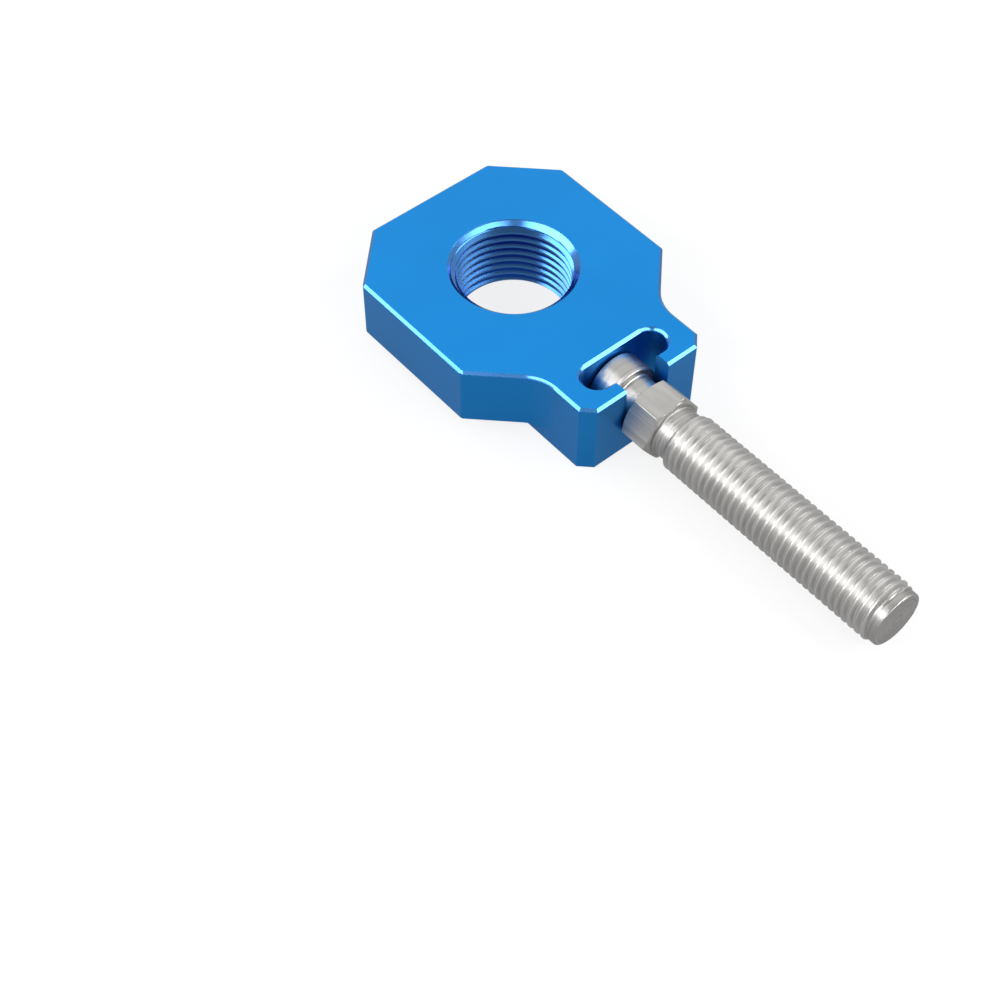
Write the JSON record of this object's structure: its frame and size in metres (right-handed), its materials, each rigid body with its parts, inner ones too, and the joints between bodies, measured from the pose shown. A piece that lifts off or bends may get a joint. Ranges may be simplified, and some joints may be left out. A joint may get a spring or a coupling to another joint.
{
  "type": "motorcycle chain adjuster",
  "caption": "Axle block with a threaded axle bore and a flared tail, whose slot holds the head of a swivelling adjuster bolt with a hexagonal collar.",
  "frame": {"origin": "on the axle bore's axis, in the plane of the plate's underside, which bears on the swingarm", "axes": "+X along the adjuster bolt towards its threaded end, +Z along the axle bore, away from the guide rib"},
  "size_m": [0.1032, 0.0416, 0.0133],
  "materials": {
    "anodised_block": "blasted and blue anodised",
    "turned_bolt": "turned stainless steel"
  },
  "bodies": {
    "block": {"adjuster_block": "anodised_block"},
    "bolt": {"adjuster_bolt": "turned_bolt"}
  },
  "joints": [
    {"name": "bolt_swivel", "type": "hinge", "parent": "block", "child": "bolt", "pos_m": [0.02565, 0, 0.00405], "axis": [1, 0, 0], "continuous": true}
  ]
}
